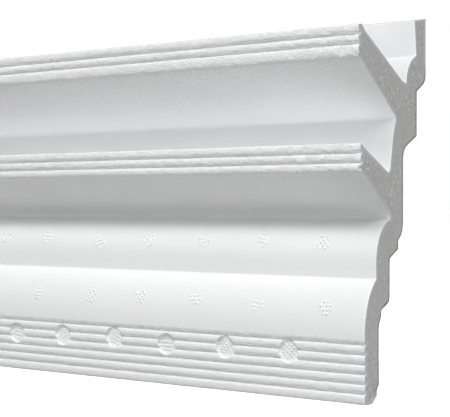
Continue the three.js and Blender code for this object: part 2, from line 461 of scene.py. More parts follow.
@dataclass(frozen=True)
class Section:
    """The whole section: the moulded front and the stepped back."""

    reeds: Reeds = Reeds()
    trough: Trough = Trough()
    upper_flange: Flange = Flange(
        reach=27.5,
        pitch_deg=31.6,
        lip_edge=((2.3, 2.4), (2.4, -0.6)),
        lip_height=11.4,
        first_groove=3.3,
        under_reach=25.4,
        under_pitch_deg=38.7,
        under_zone=Zone.UNDERSIDE,
        first_swells=False,
    )
    recess: Recess = Recess()
    lower_flange: Flange = Flange(
        reach=17.1,
        pitch_deg=27.6,
        lip_edge=((2.6, 1.7),),
        lip_height=10.2,
        first_groove=3.5,
        under_reach=17.8,
        under_pitch_deg=37.3,
        under_zone=Zone.LOW_UNDERSIDE,
        first_swells=True,
    )
    waves: Waves = Waves()
    band: Band = Band()
    trough_ledge: Ledge = Ledge(8.1, 1.5, -2.8, 3.0, 0.3)
    recess_ledge: Ledge = Ledge(10.8, 14.9, 9.4, 0.8, 4.2)
    upper_wave_ledges: tuple[Ledge, ...] = (
        Ledge(16.4, -5.2, -8.6, 4.6, 0.6),
        Ledge(10.1, -12.0, -15.4, 0.4, 0.8),
    )
    lower_wave_ledges: tuple[Ledge, ...] = (
        Ledge(12.2, -9.2, -11.9, 2.2, 0.6),
        Ledge(10.3, -14.2, -18.0, 1.4, 0.8),
    )
    bottom_ledge: Ledge = Ledge(8.8, 6.9, 5.2, 0.3, 0.5)
    edge_round: float = 0.32
    edge_guard: float = 0.2
    sharp_deg: float = 32.0
    round_parts: int = 2
    front_step: float = 2.0
    back_step: float = 4.5
    grain_from: float = 30.0
    grain_to: float = 48.0
    least_grain: float = 0.3

    def grain_share(self, zone: Zone, out: float) -> float:
        """How much of a zone's grain shows: an underside is rougher towards its lip.

        Args:
            zone: The zone.
            out: How far out of the wall the point is.

        Returns:
            The share.
        """
        if zone not in (Zone.UNDERSIDE, Zone.LOW_UNDERSIDE):
            return 1.0
        share = (out - self.grain_from) / (self.grain_to - self.grain_from)
        return self.least_grain + (1 - self.least_grain) * min(max(share, 0.0), 1.0)

    def draw(self) -> tuple["Outline", tuple[float, float]]:
        """Draws the section down the front and up the back.

        Returns:
            The finished outline, and the band's top corner.
        """
        pen = Pen()
        trough_foot = self.trough.draw(pen)
        self.upper_flange.draw(pen, self.reeds)
        recess_foot = self.recess.draw(pen, self.upper_flange.under_pitch_deg)
        self.lower_flange.draw(pen, self.reeds)
        upper_top, lower_top = self.waves.draw(pen, self.lower_flange.under_pitch_deg)
        band_top, underside = self.band.draw(pen, self.reeds, self.bottom_ledge.wall)
        ledges = [
            (self.trough_ledge, trough_foot[0], trough_foot[1]),
            (self.recess_ledge, recess_foot[0], recess_foot[1]),
            *((ledge, lower_top[0], upper_top[1]) for ledge in self.upper_wave_ledges),
            *((ledge, band_top[0], lower_top[1]) for ledge in self.lower_wave_ledges),
            (self.bottom_ledge, band_top[0], underside),
        ]
        pen.zone = Zone.BACK
        for index in range(len(ledges) - 1, -1, -1):
            ledge, _, landmark_up = ledges[index]
            above = ledges[index - 1] if index else None
            out_above = above[1] - above[0].wall if above else 0.0
            ledge.draw(pen, landmark_up, out_above)
        outline = Outline(pen.points, self.edge_guard)
        outline = outline.rounded(self.edge_round, self.sharp_deg, self.round_parts)
        return outline.spaced(self.front_step, self.back_step), band_top


@dataclass
class Outline:
    """A closed outline of points out and up, each with the zone of the stretch before it.

    The guard is how far past a rounding the next point stands, so that long flats shade flat.
    """

    points: list[tuple[float, float, Zone]]
    guard: float = 0.0
    guard_room: float = 4.0
    least_cut: float = 0.25
    most_share: float = 0.45

    def rounded(self, radius: float, sharp_deg: float, parts: int) -> "Outline":
        """Rounds each sharp corner.

        Args:
            radius: How far from the corner the rounding starts.
            sharp_deg: The least turn that counts as sharp.
            parts: How many straight parts stand for a rounding.

        Returns:
            The rounded outline.
        """
        result: list[tuple[float, float, Zone]] = []
        count = len(self.points)
        for index, (out, up, zone) in enumerate(self.points):
            before = Vector(self.points[index - 1][:2])
            here = Vector((out, up))
            after_point = self.points[(index + 1) % count]
            after = Vector(after_point[:2])
            arrive, leave = here - before, after - here
            if min(arrive.length, leave.length) < TINY:
                continue
            cut = min(radius, self.most_share * arrive.length, self.most_share * leave.length)
            turn = abs(math.degrees(arrive.angle_signed(leave)))
            if turn < sharp_deg or cut < self.least_cut:
                result.append((out, up, zone))
                continue
            first = here - arrive.normalized() * cut
            last = here + leave.normalized() * cut
            far = self.guard_room * (cut + self.guard)
            if zone is not Zone.BACK and arrive.length > far:
                point = first - arrive.normalized() * self.guard
                result.append((point.x, point.y, zone))
            for part in range(parts + 1):
                t = part / parts
                point = first * (1 - t) ** 2 + here * 2 * t * (1 - t) + last * t * t
                result.append((point.x, point.y, zone if t < 0.5 else after_point[2]))
            if after_point[2] is not Zone.BACK and leave.length > far:
                point = last + leave.normalized() * self.guard
                result.append((point.x, point.y, after_point[2]))
        return Outline(result)

    def spaced(self, front_step: float, back_step: float) -> "Outline":
        """Splits the long stretches.

        Args:
            front_step: The longest part on the front.
            back_step: The longest part on the back.

        Returns:
            The outline with no long parts.
        """
        result: list[tuple[float, float, Zone]] = []
        for index, (out, up, zone) in enumerate(self.points):
            before = self.points[index - 1]
            length = math.hypot(out - before[0], up - before[1])
            step = back_step if zone is Zone.BACK or index == 0 else front_step
            parts = max(1, math.ceil(length / step))
            for part in range(1, parts + 1):
                t = part / parts
                place = (before[0] + t * (out - before[0]), before[1] + t * (up - before[1]))
                result.append((*place, zone))
        return Outline(result)


@dataclass(frozen=True)
class Span:
    """A range of a number, and the range that it is mapped to."""

    low: Any
    high: Any
    to_low: float = 0.0
    to_high: float = 1.0


class Bench:
    """Adds and joins the nodes of one tree."""

    def __init__(self, tree: bpy.types.NodeTree) -> None:
        """Takes the tree to work on."""
        self.tree = tree

    def node(self, kind: str, inputs: dict[Any, Any] | None = None, **settings: Any) -> bpy.types.Node:
        """Adds a node.

        Args:
            kind: The node's type.
            inputs: The socket or the value for each input, by its name or place.
            **settings: The node's own settings.

        Returns:
            The new node.
        """
        node = self.tree.nodes.new(kind)
        for name, value in settings.items():
            setattr(node, name, value)
        for name, value in (inputs or {}).items():
            self.feed(node.inputs[name], value)
        return node

    def feed(self, socket: bpy.types.NodeSocket, value: Any) -> None:
        """Links a socket to another, or sets its value.

        Args:
            socket: The input.
            value: The output that feeds it, or its plain value.
        """
        if isinstance(value, bpy.types.NodeSocket):
            self.tree.links.new(value, socket)
        else:
            socket.default_value = value

    def math(self, operation: str, *values: Any) -> bpy.types.NodeSocket:
        """Joins one or two numbers by an operation and returns the result."""
        return self.node("ShaderNodeMath", dict(enumerate(values)), operation=operation).outputs[0]

    def product(self, *values: Any) -> bpy.types.NodeSocket:
        """Multiplies numbers from the left."""
        return reduce(partial(self.math, "MULTIPLY"), values)

    def total(self, *values: Any) -> bpy.types.NodeSocket:
        """Adds numbers from the left."""
        return reduce(partial(self.math, "ADD"), values)

    def vector(self, operation: str, *values: Any) -> bpy.types.NodeSocket:
        """Joins two vectors by an operation and returns the result."""
        return self.node("ShaderNodeVectorMath", dict(enumerate(values)), operation=operation).outputs[0]

    def scaled(self, vector: Any, factor: Any) -> bpy.types.NodeSocket:
        """Makes a vector longer by a factor."""
        return self.node("ShaderNodeVectorMath", {0: vector, "Scale": factor}, operation="SCALE").outputs[0]

    def spread(self, value: Any, span: Span) -> bpy.types.NodeSocket:
        """Maps a number by a span and keeps it inside.

        Args:
            value: The number.
            span: The span.

        Returns:
            The mapped number.
        """
        inputs = {
            "Value": value,
            "From Min": span.low,
            "From Max": span.high,
            "To Min": span.to_low,
            "To Max": span.to_high,
        }
        return self.node("ShaderNodeMapRange", inputs).outputs["Result"]

    def noise(self, place: Any, size: float, detail: float = 1.0) -> bpy.types.NodeSocket:
        """Makes a noise whose features have a size in metres."""
        inputs = {"Vector": place, "Scale": 1 / size, "Detail": detail}
        return self.node("ShaderNodeTexNoise", inputs).outputs["Fac"]

    def attribute(self, name: str, kind: str = "FLOAT") -> bpy.types.NodeSocket:
        """Reads one of the mesh's own attributes.

        Args:
            name: The attribute's name.
            kind: Its type, which only a Geometry Nodes tree has to be told.

        Returns:
            The attribute's value.
        """
        if self.tree.bl_idname == "GeometryNodeTree":
            return self.node("GeometryNodeInputNamedAttribute", {"Name": name}, data_type=kind).outputs[0]
        return self.node("ShaderNodeAttribute", attribute_name=name).outputs["Fac"]


class Finish(Bench):
    """The nodes of one material, fed into its shader."""

    def __init__(self, name: str) -> None:
        """Starts a material with its shader.

        Args:
            name: The material's name.
        """
        self.material = bpy.data.materials.new(name)
        self.material.use_nodes = True
        super().__init__(self.material.node_tree)

    def place(self) -> bpy.types.NodeSocket:
        """The place on the object."""
        return self.node("ShaderNodeTexCoord").outputs["Object"]

    def mixed(self, share: Any, first: Any, second: tuple[float, float, float]) -> bpy.types.NodeSocket:
        """Mixes two colours.

        Args:
            share: The share of the second colour.
            first: The first colour.
            second: The second colour.

        Returns:
            The mixed colour.
        """
        inputs = {0: share, 6: first, 7: (*second, 1.0)}
        return self.node("ShaderNodeMix", inputs, data_type="RGBA").outputs[2]

    def bump(self, height: Any, strength: float, depth: float) -> bpy.types.NodeSocket:
        """Turns a height into a bent normal."""
        inputs = {"Height": height, "Strength": strength, "Distance": depth}
        return self.node("ShaderNodeBump", inputs).outputs["Normal"]

    def done(self, values: dict[str, Any]) -> bpy.types.Material:
        """Feeds the shader.

        Args:
            values: The socket or the value for each input of the shader.

        Returns:
            The finished material.
        """
        for name, value in values.items():
            self.feed(self.tree.nodes["Principled BSDF"].inputs[name], value)
        return self.material


class Tree(Bench):
    """A Geometry Nodes tree with named inputs, put on an object as a modifier."""

    def __init__(self, name: str) -> None:
        """Starts an empty tree.

        Args:
            name: The tree's name.
        """
        super().__init__(bpy.data.node_groups.new(name, "GeometryNodeTree"))
        self.idents: dict[str, str] = {}
        for side in ("OUTPUT", "INPUT"):
            self.tree.interface.new_socket(
                name="Geometry", in_out=side, socket_type="NodeSocketGeometry"
            )
        self.start = self.node("NodeGroupInput")
        self.end = self.node("NodeGroupOutput")

    def size(self, name: str, kind: str = "Float") -> bpy.types.NodeSocket:
        """Adds a named input.

        Args:
            name: The input's name.
            kind: Its type.

        Returns:
            The socket that gives its value.
        """
        item = self.tree.interface.new_socket(name=name, in_out="INPUT", socket_type=f"NodeSocket{kind}")
        self.idents[name] = item.identifier
        return self.start.outputs[name]

    def stored(self, shape: Any, name: str, value: Any) -> bpy.types.NodeSocket:
        """Stores a vector on each point of a shape.

        Args:
            shape: The shape.
            name: The vector's name.
            value: The vector.

        Returns:
            The shape with the vector on its points.
        """
        return self.node(
            "GeometryNodeStoreNamedAttribute",
            {"Geometry": shape, "Name": name, "Value": value},
            data_type="FLOAT_VECTOR",
            domain="POINT",
        ).outputs[0]

    def close(self, shape: Any, material: Any) -> None:
        """Ends the tree in Realize Instances and Set Material.

        Args:
            shape: The finished shape.
            material: Its material.
        """
        real = self.node("GeometryNodeRealizeInstances", {"Geometry": shape}).outputs[0]
        dressed = self.node("GeometryNodeSetMaterial", {"Geometry": real, "Material": material})
        self.feed(self.end.inputs[0], dressed.outputs[0])

    def grow(self, piece: bpy.types.Object, values: dict[str, Any], name: str) -> bpy.types.Object:
        """Runs the tree on an object and keeps the result as a plain mesh.

        Args:
            piece: The object that the tree starts from, which is used up.
            values: The value of each named input.
            name: The name of the new object.

        Returns:
            The new object.
        """
        modifier = piece.modifiers.new(name, "NODES")
        modifier.node_group = self.tree
        for key, value in values.items():
            modifier[self.idents[key]] = value
        mesh = settled_mesh(piece)
        mesh.name = name
        piece.modifiers.remove(modifier)
        bpy.data.objects.remove(piece)
        return new_object(name, mesh)


def settled_mesh(piece: bpy.types.Object) -> bpy.types.Mesh:
    """The mesh that a piece's modifiers leave."""
    depsgraph = bpy.context.evaluated_depsgraph_get()
    return bpy.data.meshes.new_from_object(piece.evaluated_get(depsgraph))


def new_object(name: str, mesh: bpy.types.Mesh) -> bpy.types.Object:
    """Makes an object of a mesh and puts it in the scene.

    Args:
        name: The object's name.
        mesh: Its mesh.

    Returns:
        The new object.
    """
    piece = bpy.data.objects.new(name, mesh)
    bpy.context.scene.collection.objects.link(piece)
    return piece


def write_columns(mesh: bpy.types.Mesh, columns: dict[str, list[float]]) -> None:
    """Writes a number on each point of a mesh, for each named column."""
    for name, values in columns.items():
        mesh.attributes.new(name, "FLOAT", "POINT").data.foreach_set("value", values)


def drawn_object(name: str, points: list, edges: list, faces: list) -> bpy.types.Object:
    """Makes an object of points and what joins them.

    Args:
        name: The object's name.
        points: The points, in metres.
        edges: The two points of each edge.
        faces: The points of each face.

    Returns:
        The new object.
    """
    mesh = bpy.data.meshes.new(name)
    mesh.from_pydata(points, edges, faces)
    return new_object(name, mesh)


def shaped_object(name: str, shape: bmesh.types.BMesh) -> bpy.types.Object:
    """Makes an object of an editing mesh, which is used up.

    Args:
        name: The object's name.
        shape: The editing mesh.

    Returns:
        The new object.
    """
    mesh = bpy.data.meshes.new(name)
    shape.to_mesh(mesh)
    shape.free()
    return new_object(name, mesh)


def boolean(piece: bpy.types.Object, tool: bpy.types.Object, operation: str) -> None:
    """Joins a tool to a piece or cuts it out, and uses the tool up.

    Args:
        piece: The closed piece that is changed.
        tool: The closed tool.
        operation: UNION or DIFFERENCE.
    """
    modifier = piece.modifiers.new("boolean", "BOOLEAN")
    modifier.operation = operation
    modifier.object = tool
    modifier.solver = "MANIFOLD"
    mesh = settled_mesh(piece)
    piece.modifiers.remove(modifier)
    spent = piece.data
    piece.data = mesh
    bpy.data.meshes.remove(spent)
    bpy.data.objects.remove(tool)


@dataclass(frozen=True)
class FoamSkin:
    """The moulded skin: white, matt, with pits where the fused beads meet, and with painted light and shade
    by zone.
    """

    color: tuple[float, float, float] = (0.928, 0.931, 0.936)
    bead_size: float = 1.7 * MM
    bead_crown: Span = Span(0.0, 0.3)
    seam_tone: Span = Span(0.0, 0.6, -0.05, 0.0)
    warp_size: float = MM / 0.3
    warp_reach: float = 0.6 * MM
    pit_size: float = 1.2 * MM
    pit_edge: Span = Span(0.57, 0.7)
    pit_tone: float = -0.1
    nib_size: float = 0.9 * MM
    nib_tone: Span = Span(0.5, 0.68, 0.0, 0.07)
    cloud_size: float = 36 * MM
    cloud_tone: Span = Span(0.3, 0.7, 0.99, 1.01)
    crumb_size: float = 1.0 * MM
    crumb_height: Span = Span(0.35, 0.65, 0.0, 1.3)
    pore_size: float = 0.5 * MM
    roughness: Span = Span(0.2, 0.8, 0.56, 0.72)
    crown_height: float = 0.6
    pore_height: float = 0.35
    pit_height: float = -0.4
    bump_strength: float = 0.5
    bump_depth: float = 0.12 * MM
    ior: float = 1.42

    def build(self) -> bpy.types.Material:
        """Builds the skin's material.

        Returns:
            The material.
        """
        finish = Finish("foam_skin")
        place = finish.place()
        grain = finish.attribute("grain")
        warp = finish.node(
            "ShaderNodeTexNoise", {"Vector": place, "Scale": 1 / self.warp_size, "Detail": 1.0}
        )
        shift = finish.vector("SUBTRACT", warp.outputs["Color"], (0.5, 0.5, 0.5))
        seams = finish.node(
            "ShaderNodeTexVoronoi",
            {
                "Vector": finish.vector("ADD", place, finish.scaled(shift, self.warp_reach)),
                "Scale": 1 / self.bead_size,
            },
            feature="DISTANCE_TO_EDGE",
        ).outputs["Distance"]
        crown = finish.spread(seams, self.bead_crown)
        pits = finish.product(finish.spread(finish.noise(place, self.pit_size), self.pit_edge), grain)
        nibs = finish.spread(finish.noise(place, self.nib_size, detail=2.0), self.nib_tone)
        pores = finish.noise(place, self.pore_size, detail=2.0)
        crumbs = finish.spread(finish.noise(place, self.crumb_size, detail=3.0), self.crumb_height)
        tone = finish.total(
            finish.spread(finish.noise(place, self.cloud_size, detail=3.0), self.cloud_tone),
            finish.product(pits, self.pit_tone),
            finish.product(nibs, grain),
            finish.product(finish.spread(crown, self.seam_tone), grain),
        )
        # Painted light and shade: the skin's tone is raised or lowered by each zone's painted share.
        tone = finish.product(tone, finish.total(finish.attribute("tint"), 1.0))
        height = finish.total(
            finish.product(crown, grain, self.crown_height),
            finish.product(pores, self.pore_height),
            finish.product(pits, self.pit_height),
            finish.product(crumbs, finish.attribute("crumble")),
        )
        return finish.done(
            {
                "Base Color": finish.scaled(self.color, tone),
                "Roughness": finish.spread(pores, self.roughness),
                "Normal": finish.bump(height, self.bump_strength, self.bump_depth),
                "IOR": self.ior,
            }
        )


@dataclass(frozen=True)
class SawnFoam:
    """The sawn face: mottled by opened beads, with a pale rim at the front and a dark back edge.

    The fades run over the distance from the skin, in millimetres.
    """

    core: tuple[float, float, float] = (0.705, 0.705, 0.70)
    rim: tuple[float, float, float] = (0.80, 0.81, 0.86)
    fleck: tuple[float, float, float] = (0.2, 0.2, 0.2)
    bead_size: float = 1.9 * MM
    bead_tone: Span = Span(0.0, 1.0, 0.97, 1.03)
    dot_size: float = 1.6 * MM
    dot_tone: Span = Span(0.54, 0.7, 0.0, 0.3)
    speck_size: float = 1.3 * MM
    speck_tone: Span = Span(0.55, 0.7, 0.0, 0.18)
    patch_size: float = 14.0 * MM
    patch_share: Span = Span(0.42, 0.6, 0.2, 1.0)
    torn_size: float = 0.52 * MM
    torn_tone: Span = Span(0.3, 0.7, -0.05, 0.05)
    torn_height: float = 0.8
    rim_fade: Span = Span(0.6, 1.5, 0.9, 0.0)
    fleck_edge: Span = Span(0.5, 0.62)
    fleck_fade: Span = Span(0.5, 1.3, 1.0, 0.0)
    edge_fade: Span = Span(0.15, 0.8, 1.0, 0.0)
    roughness: Span = Span(0.2, 0.8, 0.8, 0.95)
    bump_strength: float = 0.6
    bump_depth: float = 0.2 * MM

    def build(self) -> bpy.types.Material:
        """Builds the sawn face's material.

        Returns:
            The material.
        """
        finish = Finish("sawn_foam")
        place = finish.place()
        gap, front = finish.attribute("skin_gap"), finish.attribute("front")
        cells = finish.node("ShaderNodeTexVoronoi", {"Vector": place, "Scale": 1 / self.bead_size})
        shade = finish.node("ShaderNodeSeparateColor", {0: cells.outputs["Color"]}).outputs[0]
        dots = finish.spread(finish.noise(place, self.dot_size), self.dot_tone)
        specks = finish.spread(finish.noise(place, self.speck_size), self.speck_tone)
        patches = finish.spread(finish.noise(place, self.patch_size), self.patch_share)
        mottle = finish.product(finish.math("SUBTRACT", dots, specks), patches)
        torn = finish.noise(place, self.torn_size, detail=3.0)
        tone = finish.total(
            finish.spread(shade, self.bead_tone), finish.spread(torn, self.torn_tone), mottle
        )
        pale = finish.product(finish.spread(gap, self.rim_fade), front)
        with_rim = finish.mixed(pale, finish.scaled(self.core, tone), self.rim)
        flecks = finish.product(
            finish.spread(gap, self.fleck_fade),
            finish.spread(finish.noise(place, self.dot_size, detail=2.0), self.fleck_edge),
        )
        edge = finish.math("MAXIMUM", flecks, finish.spread(gap, self.edge_fade))
        dark = finish.product(edge, finish.math("SUBTRACT", 1.0, front))
        height = finish.total(mottle, finish.product(torn, self.torn_height))
        return finish.done(
            {
                "Base Color": finish.mixed(dark, with_rim, self.fleck),
                "Roughness": finish.spread(torn, self.roughness),
                "Normal": finish.bump(height, self.bump_strength, self.bump_depth),
            }
        )


@dataclass(frozen=True)
class Relief:
    """How far the moulded skin departs from the drawn section, in millimetres.

    Towards the right end, which was handled and sawn, the edges crumble more.
    """

    sag_height: float = 0.16
    sag_length: float = 45.0
    bead_height: float = 0.16
    bead_size: float = 1.8
    bead_middle: float = 0.45
    crumb_height: float = 0.36
    crumb_size: float = 1.5
    crumb_middle: float = 0.55
    arris_depth: float = 0.12
    arris_gain: float = 2.0
    arris_gap: float = 0.01
    handled_from: float = 0.55
    handled_gain: float = 1.7

    def values(self, half_length: float, rail: bpy.types.Object, skin: bpy.types.Material) -> dict[str, Any]:
        """The value of each named input of the sweep's tree.

        Args:
            half_length: Half the moulding's length.
            rail: The line that the section is swept along.
            skin: The skin's material.

        Returns:
            The values by input.
        """
        return {
            "Rail": rail,
            "Skin": skin,
            "Half Length": half_length * MM,
            "Sag Height": self.sag_height * MM,
            "Sag Frequency": 1 / (self.sag_length * MM),
            "Bead Height": self.bead_height * MM,
            "Bead Frequency": 1 / (self.bead_size * MM),
            "Crumb Height": self.crumb_height * MM,
            "Crumb Frequency": 1 / (self.crumb_size * MM),
            "Arris Depth": self.arris_depth * MM,
        }

    def tree(self) -> Tree:
        """Builds the tree that sweeps the section along the rail and gives the skin its relief.

        Returns:
            The tree.
        """
        tree = Tree("sweep_section")
        rail, skin = tree.size("Rail", "Object"), tree.size("Skin", "Material")
        half, arris = tree.size("Half Length"), tree.size("Arris Depth")
        sag_height, sag = tree.size("Sag Height"), tree.size("Sag Frequency")
        bead_height, bead = tree.size("Bead Height"), tree.size("Bead Frequency")
        crumb_height, crumb = tree.size("Crumb Height"), tree.size("Crumb Frequency")
        line = tree.node("GeometryNodeObjectInfo", {"Object": rail}).outputs["Geometry"]
        path = tree.node("GeometryNodeMeshToCurve", {0: line}).outputs[0]
        upright = tree.node("GeometryNodeSetCurveNormal", {"Curve": path}, mode="Z_UP").outputs[0]
        profile = tree.node("GeometryNodeMeshToCurve", {0: tree.start.outputs["Geometry"]}).outputs[0]
        sweep = tree.node(
            "GeometryNodeCurveToMesh", {"Curve": upright, "Profile Curve": profile}
        ).outputs[0]
        place = tree.node("GeometryNodeInputPosition").outputs[0]
        normal = tree.node("GeometryNodeInputNormal").outputs[0]
        sags, crumbs = (
            tree.node("ShaderNodeTexNoise", {"Vector": place, "Scale": scale, "Detail": 2.0}).outputs["Fac"]
            for scale in (sag, crumb)
        )
        beads = tree.node("ShaderNodeTexVoronoi", {"Vector": place, "Scale": bead}).outputs["Distance"]
        along = tree.node("ShaderNodeSeparateXYZ", {0: place}).outputs["X"]
        handled = tree.spread(
            along, Span(tree.product(half, self.handled_from), half, 1.0, self.handled_gain)
        )
        inner = tree.math("SUBTRACT", half, self.arris_gap * MM)
        at_end = tree.math("GREATER_THAN", tree.math("ABSOLUTE", along), inner)
        height = tree.total(
            tree.product(tree.math("SUBTRACT", sags, 0.5), sag_height),
            tree.product(
                tree.math("SUBTRACT", self.bead_middle, beads), bead_height, tree.attribute("grain")
            ),
            tree.product(
                tree.product(tree.math("SUBTRACT", crumbs, self.crumb_middle), crumb_height),
                tree.product(tree.attribute("crumble"), handled),
            ),
            tree.product(crumbs, -self.arris_gain, arris, at_end),
        )
        offset = tree.vector("MULTIPLY", tree.scaled(normal, height), (0.0, 1.0, 1.0))
        raised = tree.node("GeometryNodeSetPosition", {"Geometry": sweep, "Offset": offset}).outputs[0]
        tree.close(raised, skin)
        return tree


@dataclass(frozen=True)
class SawCut:
    """The sawn face at an end, in millimetres.

    Beads that the saw pulled out leave cups, and beads that it cut leave low crowns.
    """

    grid: float = 0.8
    row_share: float = 0.87
    scatter: float = 0.28
    clear_share: float = 0.45
    skin_ring: float = 0.9
    tear_depth: float = 0.2
    bead_size: float = 2.1
    cup_radius: float = 0.55
    pulled_share: float = 0.55
    cup_share: float = 0.7
    crown_share: float = 0.4
    fine_share: float = 0.35
    fine_scale: float = 3.1
    pull_scale: float = 9.7
    end_shift: float = 7.3
    seed: int = 11

    def close(self, mesh: bmesh.types.BMesh, side: int) -> None:
        """Closes one end of the sweep with a torn, sawn face.

        Args:
            mesh: The swept skin, open at both ends.
            side: 1 for the right end, -1 for the left.
        """
        loop = self.end_loop(mesh, side)
        layers = mesh.verts.layers.float
        back, gap_layer, front_layer = (layers[name] for name in ("back", "skin_gap", "front"))
        outline = np.array([(-vert.co.y, vert.co.z) for vert in loop]) / MM
        backs = np.array([vert[back] for vert in loop])
        inner, gaps, nearest = self.inner_points(outline, side)
        everything = [Vector(point) for point in (*outline, *inner)]
        around = [list(range(len(outline)))]
        result = geometry.delaunay_2d_cdt(everything, [], around, 1, TINY)
        level = loop[0].co.x
        verts = list(loop)
        for (out, up), gap, near in zip(inner, gaps, nearest):
            depth = self.depth(out, up, side) * min(1.0, gap / self.skin_ring)
            vert = mesh.verts.new((level - side * depth * MM, -out * MM, up * MM))
            vert[gap_layer] = gap
            vert[front_layer] = 1.0 - backs[near]
            verts.append(vert)
        for vert, behind in zip(loop, backs):
            vert[gap_layer] = 0.0
            vert[front_layer] = 1.0 - behind
        for corners in result[2]:
            face = mesh.faces.new([verts[result[3][corner][0]] for corner in corners])
            face.material_index = Face.SAWN.value
            face.smooth = True
            face.normal_update()
            if face.normal.x * side < 0:
                face.normal_flip()

    def end_loop(self, mesh: bmesh.types.BMesh, side: int) -> list[bmesh.types.BMVert]:
        """Follows the open edge at one end.

        Args:
            mesh: The swept skin.
            side: Which end it is.

        Returns:
            The edge's points, in order round the section.
        """
        links: dict[bmesh.types.BMVert, list[bmesh.types.BMVert]] = {}
        for edge in mesh.edges:
            if edge.is_boundary and edge.verts[0].co.x * side > 0:
                for here, there in (edge.verts, reversed(edge.verts)):
                    links.setdefault(here, []).append(there)
        first = min(links, key=lambda vert: vert.index)
        loop = [first]
        before, here = first, links[first][0]
        while here is not first:
            loop.append(here)
            one, other = links[here]
            before, here = here, other if one is before else one
        return loop

    def inner_points(self, outline: np.ndarray, side: int) -> tuple[list, list[float], list[int]]:
        """Scatters points inside the outline.

        Args:
            outline: The points of the end's outline.
            side: Which end it is.

        Returns:
            The points, how far each is from the skin, and the outline point nearest to it.
        """
        dice = random.Random(self.seed + side)
        low, high = outline.min(0), outline.max(0)
        points = []
        rows = int((high[1] - low[1]) / (self.grid * self.row_share))
        columns = int((high[0] - low[0]) / self.grid)
        for row in range(rows + 1):
            for column in range(columns + 1):
                sideways = dice.uniform(-self.scatter, self.scatter)
                out = low[0] + (column + 0.5 * (row % 2) + sideways) * self.grid
                upwards = dice.uniform(-self.scatter, self.scatter)
                points.append((out, low[1] + (row + upwards) * self.grid * self.row_share))
        cloud = np.array(points)
        inside = np.zeros(len(cloud), bool)
        gaps = np.full(len(cloud), np.inf)
        nearest = np.zeros(len(cloud), int)
        for index, (first, last) in enumerate(zip(outline, np.roll(outline, -1, axis=0))):
            crosses = (first[1] > cloud[:, 1]) != (last[1] > cloud[:, 1])
            along = last - first
            reach = first[0] + (cloud[:, 1] - first[1]) / (along[1] or TINY) * along[0]
            inside ^= crosses & (cloud[:, 0] < reach)
            share = np.clip(((cloud - first) @ along) / max(along @ along, TINY), 0, 1)
            gap = np.linalg.norm(cloud - first - share[:, None] * along, axis=1)
            closer = gap < gaps
            gaps[closer] = gap[closer]
            nearest[closer] = index
        keep = inside & (gaps > self.clear_share * self.grid)
        return [tuple(point) for point in cloud[keep]], list(gaps[keep]), list(nearest[keep])

    def depth(self, out: float, up: float, side: int) -> float:
        """How deep the saw tore the foam at a point of the face.

        Args:
            out: How far the point is out of the wall.
            up: Its height.
            side: Which end it is.

        Returns:
            The depth.
        """
        spot = Vector((out / self.bead_size, up / self.bead_size, self.end_shift * side))
        distances, centres = noise.voronoi(spot)
        pulled = 0.5 + 0.5 * noise.noise(centres[0] * self.pull_scale)
        cup = self.cup_share * max(0.0, self.cup_radius - distances[0])
        torn = self.pulled_share * pulled + cup * (1 if pulled > 0.5 else -self.crown_share)
        return self.tear_depth * max(0.0, torn + self.fine_share * noise.noise(spot * self.fine_scale))


class Pattern(Enum):
    """What a steam vent's holes left, as the stretch of each pip along its row."""

    PIPS = 1.0
    DASHES = 1.35
    BARS = 1.5


@dataclass(frozen=True)
class Mark:
    """One steam vent's mark, placed from the sawn right end and from the wall's middle."""

    from_end: float
    up: float
    turn_deg: float
    pattern: Pattern = Pattern.PIPS


@dataclass(frozen=True)
class VentRow:
    """A row of vent marks on one form of the front, in millimetres."""

    marks: tuple[Mark, ...]
    spread: float
    pip_height: float


